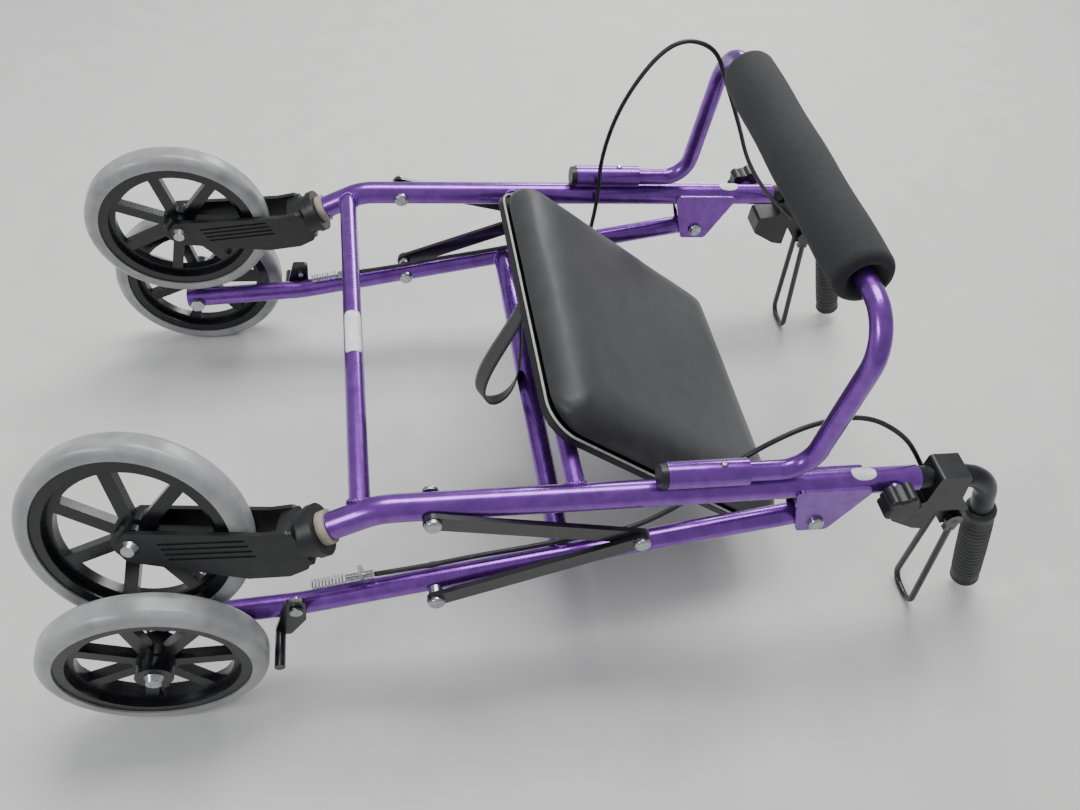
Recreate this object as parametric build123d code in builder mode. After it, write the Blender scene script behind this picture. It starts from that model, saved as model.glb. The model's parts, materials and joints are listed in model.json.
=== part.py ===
from build123d import *
from math import asin, atan2, cos, degrees, hypot, radians, sin, tan
import os

# Folding four-wheeled walker with seat, backrest roll and loop brakes, folded and lying on its back.
#
# Everything is drawn in the plane of the front tubes: X runs along the tubes from the casters to
# the handles, Y across (the user's right is +Y), Z away from the floor, from the lower crossbar's
# station. Each finished piece is then laid down on the floor, z = 0, with the origin below the
# middle of the folded walker.

os.makedirs("parts", exist_ok=True)

# ---- driving dimensions, mm and degrees ----
half_track = 225.0  # middle plane to the axis of a front tube
tube_od = 25.4
tube_wall = 1.5
crossbar_od = 19.0
leg_od = 22.2
run_fit = 0.1  # radial clearance of everything that turns or slides
tube_top_x = 525.0  # handle end of the front tubes
low_bend_x = 15.0  # where a front tube bends down to its caster
tube_foot_x = -25.0
stem_slope = 27.5  # caster stem against the front tube
seat_bar_x = 192.0
fold_x = 431.4  # bolt on which a rear leg turns
fold_z = -43.5
leg_slope = 12.0  # rear leg against the front tube, folded
front_link_x = 61.0  # link bolt on the front tube
rear_link_x = 68.0  # link bolt on the rear leg
knee_x = 255.0
knee_z = -44.0
leg_bend_x = -60.0
axle_x = -188.0
axle_z = -159.0
wheel_r = 100.0
tyre_width = 28.0
tyre_depth = 15.0
rear_wheel_y = 265.0
axle_drop = 156.0  # tube foot to front axle, along the stem
trail = 60.0  # front axle behind the stem's axis
swivel = {"left": 19.0, "right": 4.0}  # how far each caster is turned inboard
sleeve_x = 268.0
sleeve_length = 77.0
bar_od = 19.0
bar_rise_x = 404.0
roll_x = 417.0
roll_z = 199.0
roll_od = 56.0
roll_length = 332.0
height_tube_od = tube_od - 2 * tube_wall - 2 * run_fit
handle_bend_x = 605.0
grip_slope = 20.0  # grip against the normal of the tube plane
grip_end_z = -200.0
grip_od = 32.0
grip_round = 4.0
lever_pivot_x = 588.0
lever_pivot_z = -58.0
lever_end_x = 607.0
lever_end_z = -222.0
seat_width = 360.0
seat_length = 337.0
seat_overhang = 45.0  # part of the seat in front of its crossbar
seat_slope = 36.0
board_thickness = 6.0
cushion_thickness = 30.0
bolt_od = 8.0
head_od = 16.0
head_height = 5.0
link_width = 18.0
link_thickness = 5.0
cable_od = 5.0

sides = {"left": -1, "right": 1}

# ---- derived places ----
leg_fall = tan(radians(leg_slope))
stem_dir = Vector(-cos(radians(stem_slope)), 0, -sin(radians(stem_slope)))
trail_dir = Vector(-sin(radians(stem_slope)), 0, cos(radians(stem_slope)))
tube_foot_z = (tube_foot_x - low_bend_x) * tan(radians(stem_slope))
sleeve_z = tube_od - 0.6
front_face = half_track + tube_od / 2
leg_face = half_track + leg_od / 2

# the rear tyres and the ends of the brake levers rest on the floor
lie_reach = hypot(lever_end_x - axle_x, axle_z - lever_end_z)
lie_angle = degrees(asin(wheel_r / lie_reach) - atan2(axle_z - lever_end_z, lever_end_x - axle_x))
floor_drop = wheel_r + axle_x * sin(radians(lie_angle)) - axle_z * cos(radians(lie_angle))

# the folded walker reaches from the rear tyres to the outer corners of the grips
grip_dir = Vector(sin(radians(grip_slope)), 0, -cos(radians(grip_slope)))
grip_end = Vector(handle_bend_x, 0, 0) + grip_dir * (-grip_end_z / cos(radians(grip_slope)))
lean = radians(grip_slope - lie_angle)
grip_tip = grip_end.X * cos(radians(lie_angle)) + grip_end.Z * sin(radians(lie_angle))
front_reach = grip_tip + grip_round * (1 - sin(lean)) + (grip_od / 2 - grip_round) * cos(lean)
rear_reach = axle_x * cos(radians(lie_angle)) + axle_z * sin(radians(lie_angle)) - wheel_r
middle_x = (front_reach + rear_reach) / 2
LYING = Location((-middle_x, 0, floor_drop), (0, lie_angle, 0))


def leg_z(x):
    """Height of a rear leg's axis over its straight run, folded."""
    return fold_z - (fold_x - x) * leg_fall


def finish(part, name):
    """Lays a finished piece on the floor, labels it and writes its file."""
    laid = part.moved(LYING)
    laid.label = name
    export_step(laid, f"parts/{name}.step")


def across(x, z, y=0.0):
    """Plane at (x, y, z) whose normal runs across the walker, along +Y."""
    return Plane(origin=(x, y, z), x_dir=(1, 0, 0), z_dir=(0, 1, 0))


def rod(points, radii, outer, inner=0.0):
    """A round tube along straight runs joined by arcs; inner is 0 for a solid rod."""
    with BuildPart() as tube:
        with BuildLine() as axis:
            if len(points) == 2:
                Line(*points)
            else:
                FilletPolyline(*points, radius=radii)
        with BuildSketch(Plane(axis.line @ 0, z_dir=axis.line % 0)):
            Circle(outer / 2)
            if inner > 0:
                Circle(inner / 2, mode=Mode.SUBTRACT)
        sweep()
    return tube.part


def drilled(part, stations, diameter):
    """The same part with holes across it at the given (x, z) stations."""
    with BuildPart() as bored:
        add(part)
        for x, z in stations:
            with BuildSketch(across(x, z)):
                Circle(diameter / 2)
            extrude(amount=rear_wheel_y, both=True, mode=Mode.SUBTRACT)
    return bored.part


def bolt(x, z, side, inner_y, outer_y, collar=0.0):
    """A bolt across the walker between two dome heads; collar thickens its outboard end."""
    with BuildPart() as screw:
        with BuildSketch(across(x, z, side * inner_y)):
            Circle(bolt_od / 2)
        extrude(amount=side * (outer_y - inner_y))
        for y, way in ((inner_y, -side), (outer_y, side)):
            with BuildSketch(across(x, z, side * y)):
                Circle(head_od / 2)
            extrude(amount=way * head_height)
            rim = screw.faces().sort_by(Axis.Y)[-1 if way > 0 else 0].edges()
            fillet(rim, radius=0.6 * head_height)
        if collar > 0:
            with BuildSketch(across(x, z, side * (outer_y - link_thickness - 2 * run_fit))):
                Circle(head_od / 2 - 1)
                Circle(bolt_od / 2, mode=Mode.SUBTRACT)
            extrude(amount=-side * collar)
    return screw.part


# ---- front frame: two bent tubes, two crossbars, fold brackets and backrest sleeves ----
def front_path(y):
    return [(tube_top_x, y, 0), (low_bend_x, y, 0), (tube_foot_x, y, tube_foot_z)]


front_bend = 60.0
for name, side in sides.items():
    tube = rod(front_path(side * half_track), [front_bend], tube_od, tube_od - 2 * tube_wall)
    tube = drilled(tube, [(front_link_x, 0)], bolt_od)
    with BuildPart() as front_tube:
        add(tube)
        # weld nut for the height knob, on the outboard wall
        with BuildSketch(across(tube_top_x - 28, 0, side * (front_face - 2))):
            Circle(8)
        extrude(amount=side * 6)
        with BuildSketch(Plane((tube_top_x, side * half_track, 0), z_dir=(-1, 0, 0))):
            Circle(tube_od / 2 - tube_wall)
        extrude(amount=60, mode=Mode.SUBTRACT)
        with BuildSketch(across(tube_top_x - 28, 0, side * half_track)):
            Circle(bolt_od / 2)
        extrude(amount=side * (tube_od / 2 + 10), mode=Mode.SUBTRACT)
    finish(front_tube.part, f"front_tube_{name}")

front_envelopes = [rod(front_path(s * half_track), [front_bend], tube_od) for s in (-1, 1)]


def crossbar(x, z, diameter, envelopes):
    """A bar across the walker, its ends coped to the tubes it is welded to."""
    with BuildPart() as bar:
        with BuildSketch(across(x, z)):
            Circle(diameter / 2)
            Circle(diameter / 2 - tube_wall, mode=Mode.SUBTRACT)
        extrude(amount=half_track, both=True)
        for envelope in envelopes:
            add(envelope, mode=Mode.SUBTRACT)
    middle = bar.part.solids().sort_by(SortBy.VOLUME)[-1]
    return Part(middle.wrapped)


finish(crossbar(0, -6, crossbar_od, front_envelopes), "lower_crossbar")
finish(crossbar(seat_bar_x, 0, crossbar_od, front_envelopes), "seat_crossbar")

plate_gap = leg_od + 0.8
plate_thickness = 3.2
for name, side in sides.items():
    envelope = front_envelopes[0 if side < 0 else 1]
    with BuildPart() as bracket:
        with BuildSketch(across(0, 0, side * half_track)) as cheek:
            with BuildLine():
                Polyline(
                    (fold_x - 36, -6), (fold_x + 46, -6), (fold_x + 16, 57), (fold_x - 16, 57),
                    close=True,
                )
            make_face()
            fillet(cheek.vertices(), radius=5)
        extrude(amount=plate_gap / 2 + plate_thickness, both=True)
        with BuildSketch(across(0, 0, side * half_track)):
            with Locations((fold_x, 38)):
                Rectangle(120, 42)
        extrude(amount=plate_gap / 2, both=True, mode=Mode.SUBTRACT)
        with BuildSketch(across(fold_x, fold_z, side * half_track)):
            Circle(bolt_od / 2)
        extrude(amount=40, both=True, mode=Mode.SUBTRACT)
        add(envelope, mode=Mode.SUBTRACT)
    finish(bracket.part, f"fold_bracket_{name}")

button_x = sleeve_x + 0.68 * sleeve_length
for name, side in sides.items():
    y = side * half_track
    with BuildPart() as sleeve:
        with BuildSketch(Plane((sleeve_x, y, sleeve_z), z_dir=(1, 0, 0))):
            Circle(tube_od / 2)
            Circle(bar_od / 2 + run_fit, mode=Mode.SUBTRACT)
        extrude(amount=sleeve_length)
        with BuildSketch(Plane((button_x, y, sleeve_z))):
            Circle(3.5)
        extrude(amount=tube_od, mode=Mode.SUBTRACT)
        add(front_envelopes[0 if side < 0 else 1], mode=Mode.SUBTRACT)
    finish(sleeve.part, f"backrest_sleeve_{name}")

cap_length = 6.0
with BuildPart() as sleeve_caps:
    for side in sides.values():
        with BuildSketch(Plane((sleeve_x, side * half_track, sleeve_z), z_dir=(-1, 0, 0))):
            Circle(tube_od / 2 - 0.6)
        extrude(amount=cap_length, taper=8)
        with BuildSketch(Plane((sleeve_x, side * half_track, sleeve_z), z_dir=(1, 0, 0))):
            Circle(bar_od / 2 + run_fit)
        extrude(amount=14)
finish(sleeve_caps.part, "sleeve_caps")

with BuildPart() as frame_bolts:
    for side in sides.values():
        add(bolt(front_link_x, 0, side, half_track - tube_od / 2, front_face + link_thickness + 2.0))
        add(bolt(fold_x, fold_z, side, half_track - plate_gap / 2 - plate_thickness,
                 half_track + plate_gap / 2 + plate_thickness))
finish(frame_bolts.part, "frame_bolts")

# ---- backrest: a U-bar plugged into the sleeves, with a foam roll ----
plug_x = sleeve_x + 20
bar_ends = []
for side in (-1, 1):
    y = side * half_track
    bar_ends.append([(plug_x, y, sleeve_z), (bar_rise_x, y, sleeve_z), (roll_x, y, roll_z)])
with BuildPart() as backrest_bar:
    add(rod(bar_ends[0] + bar_ends[1][::-1], [30, 45, 45, 30], bar_od, bar_od - 2 * tube_wall))
    for side in sides.values():
        with BuildSketch(Plane((button_x, side * half_track, sleeve_z))):
            Circle(3.1)
        extrude(amount=tube_od, mode=Mode.SUBTRACT)
finish(backrest_bar.part, "backrest_bar")

for name, side in sides.items():
    with BuildPart() as snap_button:
        with BuildSketch(Plane((button_x, side * half_track, sleeve_z + 3))):
            Circle(3)
        extrude(amount=tube_od / 2 - 3 + 2)
        fillet(snap_button.faces().sort_by(Axis.Z)[-1].edges(), radius=1.4)
    finish(snap_button.part, f"snap_button_{name}")

with BuildPart() as foam_roll:
    with BuildSketch(across(roll_x, roll_z)):
        Circle(roll_od / 2)
        Circle(bar_od / 2, mode=Mode.SUBTRACT)
    extrude(amount=roll_length / 2, both=True)
    ends = foam_roll.edges().filter_by(GeomType.CIRCLE).group_by(SortBy.RADIUS)[-1]
    fillet(ends, radius=6)
finish(foam_roll.part, "foam_roll")

# ---- handles: height tube, grip, brake body, loop lever and height knob ----
grip_length = 150.0
handle_plug_x = 350.0
handle_bend = 48.0
for name, side in sides.items():
    y = side * half_track
    tube_end = grip_end - grip_dir * 6
    route = [(handle_plug_x, y, 0), (handle_bend_x, y, 0), (tube_end.X, y, tube_end.Z)]
    height_tube = rod(route, [handle_bend], height_tube_od, height_tube_od - 3)
    finish(height_tube, f"height_tube_{name}")

    with BuildPart() as grip:
        with BuildSketch(Plane((grip_end.X, y, grip_end.Z), x_dir=(0, 1, 0), z_dir=-grip_dir)):
            Circle(grip_od / 2)
        extrude(amount=grip_length)
        fillet(grip.edges(), radius=grip_round)
        with BuildSketch(Plane((tube_end.X, y, tube_end.Z), x_dir=(0, 1, 0), z_dir=-grip_dir)):
            Circle(height_tube_od / 2)
        extrude(amount=grip_length, mode=Mode.SUBTRACT)
    finish(grip.part, f"grip_{name}")

    with BuildPart() as brake_body:
        with BuildSketch(across(0, 0, y)) as profile:
            with BuildLine():
                Polyline(
                    (540, -16), (572, -16), (578, 18), (600, 46), (600, 66), (580, 72), (544, 66),
                    (514, 50), (514, 28), (540, 22), close=True,
                )
            make_face()
            fillet(profile.vertices(), radius=4)
        extrude(amount=15, both=True)
        with BuildSketch(across(lever_pivot_x, lever_pivot_z, y)):
            Rectangle(60, 40)
        extrude(amount=20, both=True, mode=Mode.SUBTRACT)
        with BuildSketch(across(0, 0, y)) as boss:
            with BuildLine():
                Polyline((552, 34), (584, 34), (600, 46), (600, 66), (580, 70), close=True)
            make_face()
        extrude(amount=9, both=True)
        with BuildSketch(across(lever_pivot_x, lever_pivot_z, y)):
            Circle(3)
        extrude(amount=16, both=True)
        add(rod(route, [handle_bend], height_tube_od), mode=Mode.SUBTRACT)
    finish(brake_body.part, f"brake_body_{name}")

    lever_rod = 7.0
    eye_y = 13.0
    flare_y = 20.0
    lever_z = lever_end_z + lever_rod / 2
    arm = [(lever_pivot_x + 2, y + eye_y, lever_pivot_z - 12), (lever_end_x, y + flare_y, lever_z)]
    back = [(lever_end_x, y - flare_y, lever_z), (lever_pivot_x + 2, y - eye_y, lever_pivot_z - 12)]
    with BuildPart() as lever:
        add(rod(arm + back, [14, 14], lever_rod))
        for way in (-1, 1):
            with BuildSketch(across(lever_pivot_x, lever_pivot_z, y + way * (eye_y - 3))):
                Circle(9)
                with Locations((1, 8)):
                    Rectangle(12, 16)
                Circle(3 + run_fit, mode=Mode.SUBTRACT)
            extrude(amount=way * 6)
    finish(lever.part, f"brake_lever_{name}")

    with BuildPart() as knob:
        with BuildSketch(across(tube_top_x - 28, 0, side * (front_face + 5))):
            Circle(15)
            with PolarLocations(13, 5):
                Circle(6)
        extrude(amount=side * 20)
        fillet(knob.faces().sort_by(Axis.Y)[-1 if side > 0 else 0].edges(), radius=3)
        stud_y = half_track + height_tube_od / 2 + run_fit
        with BuildSketch(across(tube_top_x - 28, 0, side * stud_y)):
            Circle(bolt_od / 2 - run_fit)
        extrude(amount=side * (front_face + 8 - stud_y))
    finish(knob.part, f"height_knob_{name}")

# ---- seat: board with hinge clips and rest pads, and the cushion on it ----
seat_dir = (cos(radians(seat_slope)), 0, -sin(radians(seat_slope)))
seat_normal = (sin(radians(seat_slope)), 0, cos(radians(seat_slope)))
SEAT = Plane(origin=(seat_bar_x, 0, 0), x_dir=seat_dir, z_dir=seat_normal)
board_z = 15.0
seat_middle = seat_length / 2 - seat_overhang
with BuildPart() as seat_board:
    with BuildSketch(SEAT.offset(board_z)):
        with Locations((seat_middle, 0)):
            RectangleRounded(seat_length, seat_width, 32)
    extrude(amount=board_thickness)
    with BuildSketch(SEAT.offset(board_z)):
        with GridLocations(0, seat_width - 80, 1, 2):
            with Locations((seat_length - seat_overhang - 22, 0)):
                Rectangle(26, 40)
    extrude(amount=-10)
finish(seat_board.part, "seat_board")

with BuildPart() as seat_clips:
    for side in sides.values():
        clip_middle = across(seat_bar_x, 0, side * 0.33 * seat_width)
        with BuildSketch(SEAT.offset(board_z)):
            with Locations((0, side * 0.33 * seat_width)):
                Rectangle(46, 30)
        extrude(amount=-4)
        with BuildSketch(clip_middle):
            Circle(crossbar_od / 2 + 4)
        extrude(amount=15, both=True)
    with BuildSketch(across(seat_bar_x, 0)):
        Circle(crossbar_od / 2 + run_fit)
    extrude(amount=half_track, both=True, mode=Mode.SUBTRACT)
finish(seat_clips.part, "seat_clips")

with BuildPart() as seat_cushion:
    with BuildSketch(SEAT.offset(board_z + board_thickness)):
        with Locations((seat_middle, 0)):
            RectangleRounded(seat_length - 4, seat_width - 4, 32)
    extrude(amount=cushion_thickness)
    fillet(seat_cushion.faces().sort_by(Axis.Z)[-1].edges(), radius=12)
finish(seat_cushion.part, "seat_cushion")

# ---- wheels: a rim with hub and spokes, and a solid tyre ----
front_hub = 30.0
rear_hub = 38.0


def wheel(plane, bore, hub_width):
    """Rim and tyre of a wheel centred on a plane whose normal is the axle."""
    rim_r = wheel_r - tyre_depth
    window_r = rim_r - 17
    with BuildPart() as rim:
        with BuildSketch(plane):
            Circle(rim_r)
            Circle(rim_r - 10, mode=Mode.SUBTRACT)
        extrude(amount=tyre_width / 2 - 2, both=True)
        with BuildSketch(plane):
            Circle(rim_r - 4)
            Circle(window_r, mode=Mode.SUBTRACT)
            Circle(20)
            with PolarLocations((window_r + 16) / 2, 7):
                Rectangle(window_r - 12, 12)
        extrude(amount=5, both=True)
        with BuildSketch(plane):
            Circle(17)
        extrude(amount=hub_width / 2, both=True)
        with BuildSketch(plane):
            Circle(bore / 2 + run_fit)
        extrude(amount=hub_width, both=True, mode=Mode.SUBTRACT)
    with BuildPart() as tyre:
        with BuildSketch(plane):
            Circle(wheel_r)
            Circle(rim_r, mode=Mode.SUBTRACT)
        extrude(amount=tyre_width / 2, both=True)
        shoulders = tyre.edges().filter_by(GeomType.CIRCLE).group_by(SortBy.RADIUS)[-1]
        fillet(shoulders, radius=9)
    return rim.part, tyre.part


# ---- casters: bushing in the tube foot, fork, axle and wheel ----
flange_height = 8.0
stem_od = 10.0
with BuildPart() as caster_bushings:
    for side in sides.values():
        foot = (tube_foot_x, side * half_track, tube_foot_z)
        with BuildSketch(Plane(foot, z_dir=stem_dir)):
            Circle(15.5)
            Circle(stem_od / 2 + run_fit, mode=Mode.SUBTRACT)
        extrude(amount=flange_height)
        with BuildSketch(Plane(foot, z_dir=stem_dir)):
            Circle(tube_od / 2 - tube_wall)
            Circle(stem_od / 2 + run_fit, mode=Mode.SUBTRACT)
        extrude(amount=-14)
finish(caster_bushings.part, "caster_bushings")

arm_thickness = 5.0
groove_depth = 1.2
arm_lean = 21.0
crown_r = 22.0
arm_y = front_hub / 2 + 0.3
crown_top = flange_height + 0.5
for name, side in sides.items():
    turn = radians(swivel[name])
    foot = Vector(tube_foot_x, side * half_track, tube_foot_z)
    back = trail_dir * cos(turn) + Vector(0, -side, 0) * sin(turn)
    FORK = Plane(origin=foot, x_dir=back, z_dir=stem_dir)
    SIDE = Plane(origin=foot, x_dir=stem_dir, z_dir=FORK.y_dir)
    hub = foot + stem_dir * axle_drop + back * trail
    with BuildPart() as fork:
        for way in (-1, 1):
            with BuildSketch(SIDE.offset(way * arm_y)) as blade:
                with BuildLine():
                    Polyline(
                        (crown_top + 18, 21), (crown_top + 40, 27), (axle_drop - 4, trail + 15),
                        (axle_drop + 13, trail + 6), (axle_drop + 10, trail - 12),
                        (crown_top + 74, -10), (crown_top + 40, -22), (crown_top + 18, -21),
                        close=True,
                    )
                make_face()
                fillet(blade.vertices(), radius=6)
            extrude(amount=way * arm_thickness)
            with BuildSketch(SIDE.offset(way * (arm_y + arm_thickness))):
                for shift in (-9, -3, 3, 9):
                    with Locations(Location((98, 32 + shift), arm_lean)):
                        SlotOverall(74, 2.4)
            extrude(amount=-way * groove_depth, mode=Mode.SUBTRACT)
        with BuildSketch(FORK.offset(crown_top + 16)):
            RectangleRounded(42, 2 * (arm_y + arm_thickness), 6)
        extrude(amount=16)
        with BuildSketch(FORK.offset(crown_top)) as neck:
            Circle(crown_r)
        extrude(amount=18)
        with BuildSketch(FORK.offset(crown_top)) as collar:
            Circle(crown_r + 2)
        extrude(amount=7)
        with BuildSketch(FORK.offset(-12)):
            Circle(stem_od / 2)
        extrude(amount=12 + crown_top)
        with BuildSketch(Plane(origin=hub, x_dir=stem_dir, z_dir=FORK.y_dir)):
            Circle(bolt_od / 2)
        extrude(amount=60, both=True, mode=Mode.SUBTRACT)
    finish(fork.part, f"caster_fork_{name}")

    HUB = Plane(origin=hub, x_dir=stem_dir, z_dir=FORK.y_dir)
    rim, tyre = wheel(HUB, bolt_od, front_hub)
    finish(rim, f"front_rim_{name}")
    finish(tyre, f"front_tyre_{name}")
    with BuildPart() as axle:
        with BuildSketch(HUB):
            Circle(bolt_od / 2)
        extrude(amount=arm_y + arm_thickness, both=True)
        for way in (-1, 1):
            with BuildSketch(HUB.offset(way * (arm_y + arm_thickness))):
                Circle(head_od / 2)
            extrude(amount=way * head_height, taper=25)
    finish(axle.part, f"front_axle_{name}")

# ---- rear frame: two legs, a cross tube, axles and wheels ----
leg_end_x = axle_x - 12
axle_bolt_od = 10.0
cross_x = 190.0
leg_bend_z = leg_z(leg_bend_x)
leg_end_z = axle_z - 12 * (leg_bend_z - axle_z) / (leg_bend_x - axle_x)


def leg_path(y):
    return [(fold_x + 8, y, leg_z(fold_x + 8)), (leg_bend_x, y, leg_bend_z), (leg_end_x, y, leg_end_z)]


for name, side in sides.items():
    leg = rod(leg_path(side * half_track), [150], leg_od, leg_od - 2 * tube_wall)
    leg = drilled(leg, [(fold_x, fold_z)], bolt_od + 2 * run_fit)
    leg = drilled(leg, [(rear_link_x, leg_z(rear_link_x))], bolt_od)
    leg = drilled(leg, [(axle_x, axle_z)], axle_bolt_od)
    finish(leg, f"rear_leg_{name}")

leg_envelopes = [rod(leg_path(s * half_track), [150], leg_od) for s in (-1, 1)]
finish(crossbar(cross_x, leg_z(cross_x), leg_od, leg_envelopes), "rear_cross_tube")

with BuildPart() as rear_axles:
    for side in sides.values():
        with BuildSketch(across(axle_x, axle_z, side * (half_track - leg_od / 2 - 6))):
            Circle(axle_bolt_od / 2)
        extrude(amount=side * (rear_wheel_y - half_track + leg_od / 2 + 10 + rear_hub / 2))
        with BuildSketch(across(axle_x, axle_z, side * (half_track - leg_od / 2))):
            RegularPolygon(9, 6)
        extrude(amount=-side * 6)
        with BuildSketch(across(axle_x, axle_z, side * leg_face)):
            Circle(9)
        extrude(amount=side * (rear_wheel_y - rear_hub / 2 - leg_face - 0.3))
        with BuildSketch(across(axle_x, axle_z, side * (rear_wheel_y + rear_hub / 2 + 0.3))):
            Circle(9)
        extrude(amount=side * 6, taper=20)
finish(rear_axles.part, "rear_axles")

for name, side in sides.items():
    rim, tyre = wheel(across(axle_x, axle_z, side * rear_wheel_y), axle_bolt_od, rear_hub)
    finish(rim, f"rear_rim_{name}")
    finish(tyre, f"rear_tyre_{name}")

# ---- folding links: front link on the front tube, rear link on the leg, meeting at the knee ----
front_link_y = front_face + 1.5
rear_link_y = front_link_y + link_thickness + 0.3


def link(start, end, y, side):
    """A flat bar between two (x, z) stations with a bolt hole at each end."""
    span = hypot(end[0] - start[0], end[1] - start[1])
    slope = Vector(end[0] - start[0], 0, end[1] - start[1]) / span
    with BuildPart() as bar:
        with BuildSketch(Plane((start[0], side * y, start[1]), x_dir=slope, z_dir=(0, side, 0))):
            with Locations((span / 2, 0)):
                SlotCenterToCenter(span, link_width)
            with Locations((0, 0), (span, 0)):
                Circle(bolt_od / 2 + run_fit, mode=Mode.SUBTRACT)
        extrude(amount=link_thickness)
    return bar.part


with BuildPart() as leg_bolts:
    for side in sides.values():
        spacer = rear_link_y - leg_face - run_fit
        add(bolt(rear_link_x, leg_z(rear_link_x), side, half_track - leg_od / 2,
                 rear_link_y + link_thickness + run_fit, spacer))
finish(leg_bolts.part, "leg_bolts")

for name, side in sides.items():
    finish(link((front_link_x, 0), (knee_x, knee_z), front_link_y, side), f"front_link_{name}")
    rear_station = (rear_link_x, leg_z(rear_link_x))
    finish(link(rear_station, (knee_x, knee_z), rear_link_y, side), f"rear_link_{name}")
    with BuildPart() as knee:
        with BuildSketch(across(knee_x, knee_z, side * (rear_link_y + 0.2))):
            Circle(bolt_od / 2 + run_fit)
        extrude(amount=side * link_thickness)
        with BuildSketch(across(knee_x, knee_z, side * (rear_link_y + link_thickness))):
            Circle(head_od / 2)
        extrude(amount=side * head_height)
        fillet(knee.faces().sort_by(Axis.Y)[-1 if side > 0 else 0].edges(), radius=3)
    finish(knee.part, f"knee_bolt_{name}")

# ---- rear brakes: arm with its shoe, return spring and cable barrel ----
arm_x = -62.0
arm_z = -130.0
shoe_x = -79.0
shoe_z = -168.0
for name, side in sides.items():
    with BuildPart() as brake_arm:
        with BuildSketch(across(0, 0, side * (leg_face + 1))) as cheek:
            with BuildLine():
                Polyline(
                    (arm_x - 9, 118), (arm_x + 9, 118), (arm_x + 8, 150), (shoe_x + 9, 176),
                    (shoe_x - 6, 172), close=True,
                )
            make_face()
            fillet(cheek.vertices(), radius=4)
        extrude(amount=side * 5)
        with BuildSketch(across(shoe_x, shoe_z, side * (leg_face + 1))):
            Circle(5)
        extrude(amount=side * (rear_wheel_y + tyre_width / 2 - leg_face))
        with BuildSketch(across(arm_x, arm_z, side * leg_face)):
            Circle(3 + run_fit)
        extrude(amount=side * 20, mode=Mode.SUBTRACT)
    finish(brake_arm.part, f"brake_arm_{name}")

with BuildPart() as brake_pins:
    for side in sides.values():
        with BuildSketch(across(arm_x, arm_z, side * (leg_face - 6))):
            Circle(3)
        extrude(amount=side * 13)
        with BuildSketch(across(arm_x, arm_z, side * (leg_face + 7))):
            Circle(6)
        extrude(amount=side * 3)
    for envelope in leg_envelopes:
        add(envelope, mode=Mode.SUBTRACT)
finish(brake_pins.part, "brake_pins")

barrel_x = 10.0
barrel_lift = 7.0
with BuildPart() as cable_barrels:
    for side in sides.values():
        y = side * (half_track - 6)
        slope = Vector(-1, 0, -leg_fall).normalized()
        top_z = leg_z(barrel_x) + leg_od / 2 + barrel_lift
        with BuildSketch(Plane((barrel_x, y, top_z), x_dir=(0, 1, 0), z_dir=slope)):
            Circle(4.5)
        extrude(amount=26)
        with BuildSketch(Plane((barrel_x - 8, y, top_z - 2), x_dir=(0, 1, 0), z_dir=slope)):
            with Locations((0, 0)):
                Rectangle(10, 26)
        extrude(amount=4)
    for envelope in leg_envelopes:
        add(envelope, mode=Mode.SUBTRACT)
finish(cable_barrels.part, "cable_barrels")

spring_wire = 1.4
with BuildPart() as brake_springs:
    for side in sides.values():
        y = side * (half_track - 6)
        top_z = leg_z(barrel_x - 26) + leg_od / 2 + barrel_lift + 1
        start = (barrel_x - 27, y, top_z)
        with BuildLine():
            coil = Helix(pitch=3.2, height=32, radius=4.5, center=start, direction=(-1, 0, -leg_fall))
        with BuildSketch(Plane(coil @ 0, z_dir=coil % 0)):
            Circle(spring_wire / 2)
        sweep(path=coil, is_frenet=True)
finish(brake_springs.part, "brake_springs")


# ---- brake cables: an upper run on the front frame and a lower run down the rear leg ----
def bend_radii(points):
    """The largest smooth radius at each inner point of a route."""
    radii = []
    for before, here, after in zip(points, points[1:], points[2:]):
        back = Vector(*before) - Vector(*here)
        ahead = Vector(*after) - Vector(*here)
        turn = radians(180 - back.get_angle(ahead))
        radii.append(0.45 * min(back.length, ahead.length) / tan(turn / 2))
    return radii


upper_routes = {
    "left": [
        (556, -207, -25), (536, -203, 4), (506, -201, 38), (462, -194, 60), (410, -197, 56),
        (362, -203, 30), (328, -206, -8), (306, -208, -42),
    ],
    "right": [
        (556, 207, -25), (536, 204, -8), (500, 199, 26), (464, 196, 70), (440, 195, 118),
        (410, 195, 170), (386, 195, 212), (338, 197, 216), (300, 201, 144), (288, 204, 66),
        (296, 207, 8), (294, 208, -42),
    ],
}
for name, side in sides.items():
    upper = upper_routes[name]
    # the lower run starts a hair beyond the upper one and stays on top of the leg
    meet = Vector(*upper[-1]) + (Vector(*upper[-1]) - Vector(*upper[-2])).normalized() * 2.5
    lower = [tuple(meet)]
    for index, x in enumerate((266, 214, 160, 108, 60)):
        lower.append((x, side * (half_track - 6), leg_z(x) + 15.5 + 2 * (index % 2)))
    barrel_top = leg_z(barrel_x) + leg_od / 2 + barrel_lift
    lower.append((barrel_x + 1.2, side * (half_track - 6), barrel_top))
    for run, points in (("upper", upper), ("lower", lower)):
        radii = bend_radii(points)
        print(name, run, "bend radii", [round(r) for r in radii])
        cable = rod(points, radii, cable_od)
        finish(cable, f"brake_cable_{run}_{name}")

print(f"lie angle {lie_angle:.3f} deg, floor drop {floor_drop:.3f} mm")
print(f"middle of the length {middle_x:.3f} mm")
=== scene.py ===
"""Looks for a folded four-wheeled walker: paint, plastics, tyres, padded seat, foam roll and cables."""

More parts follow.
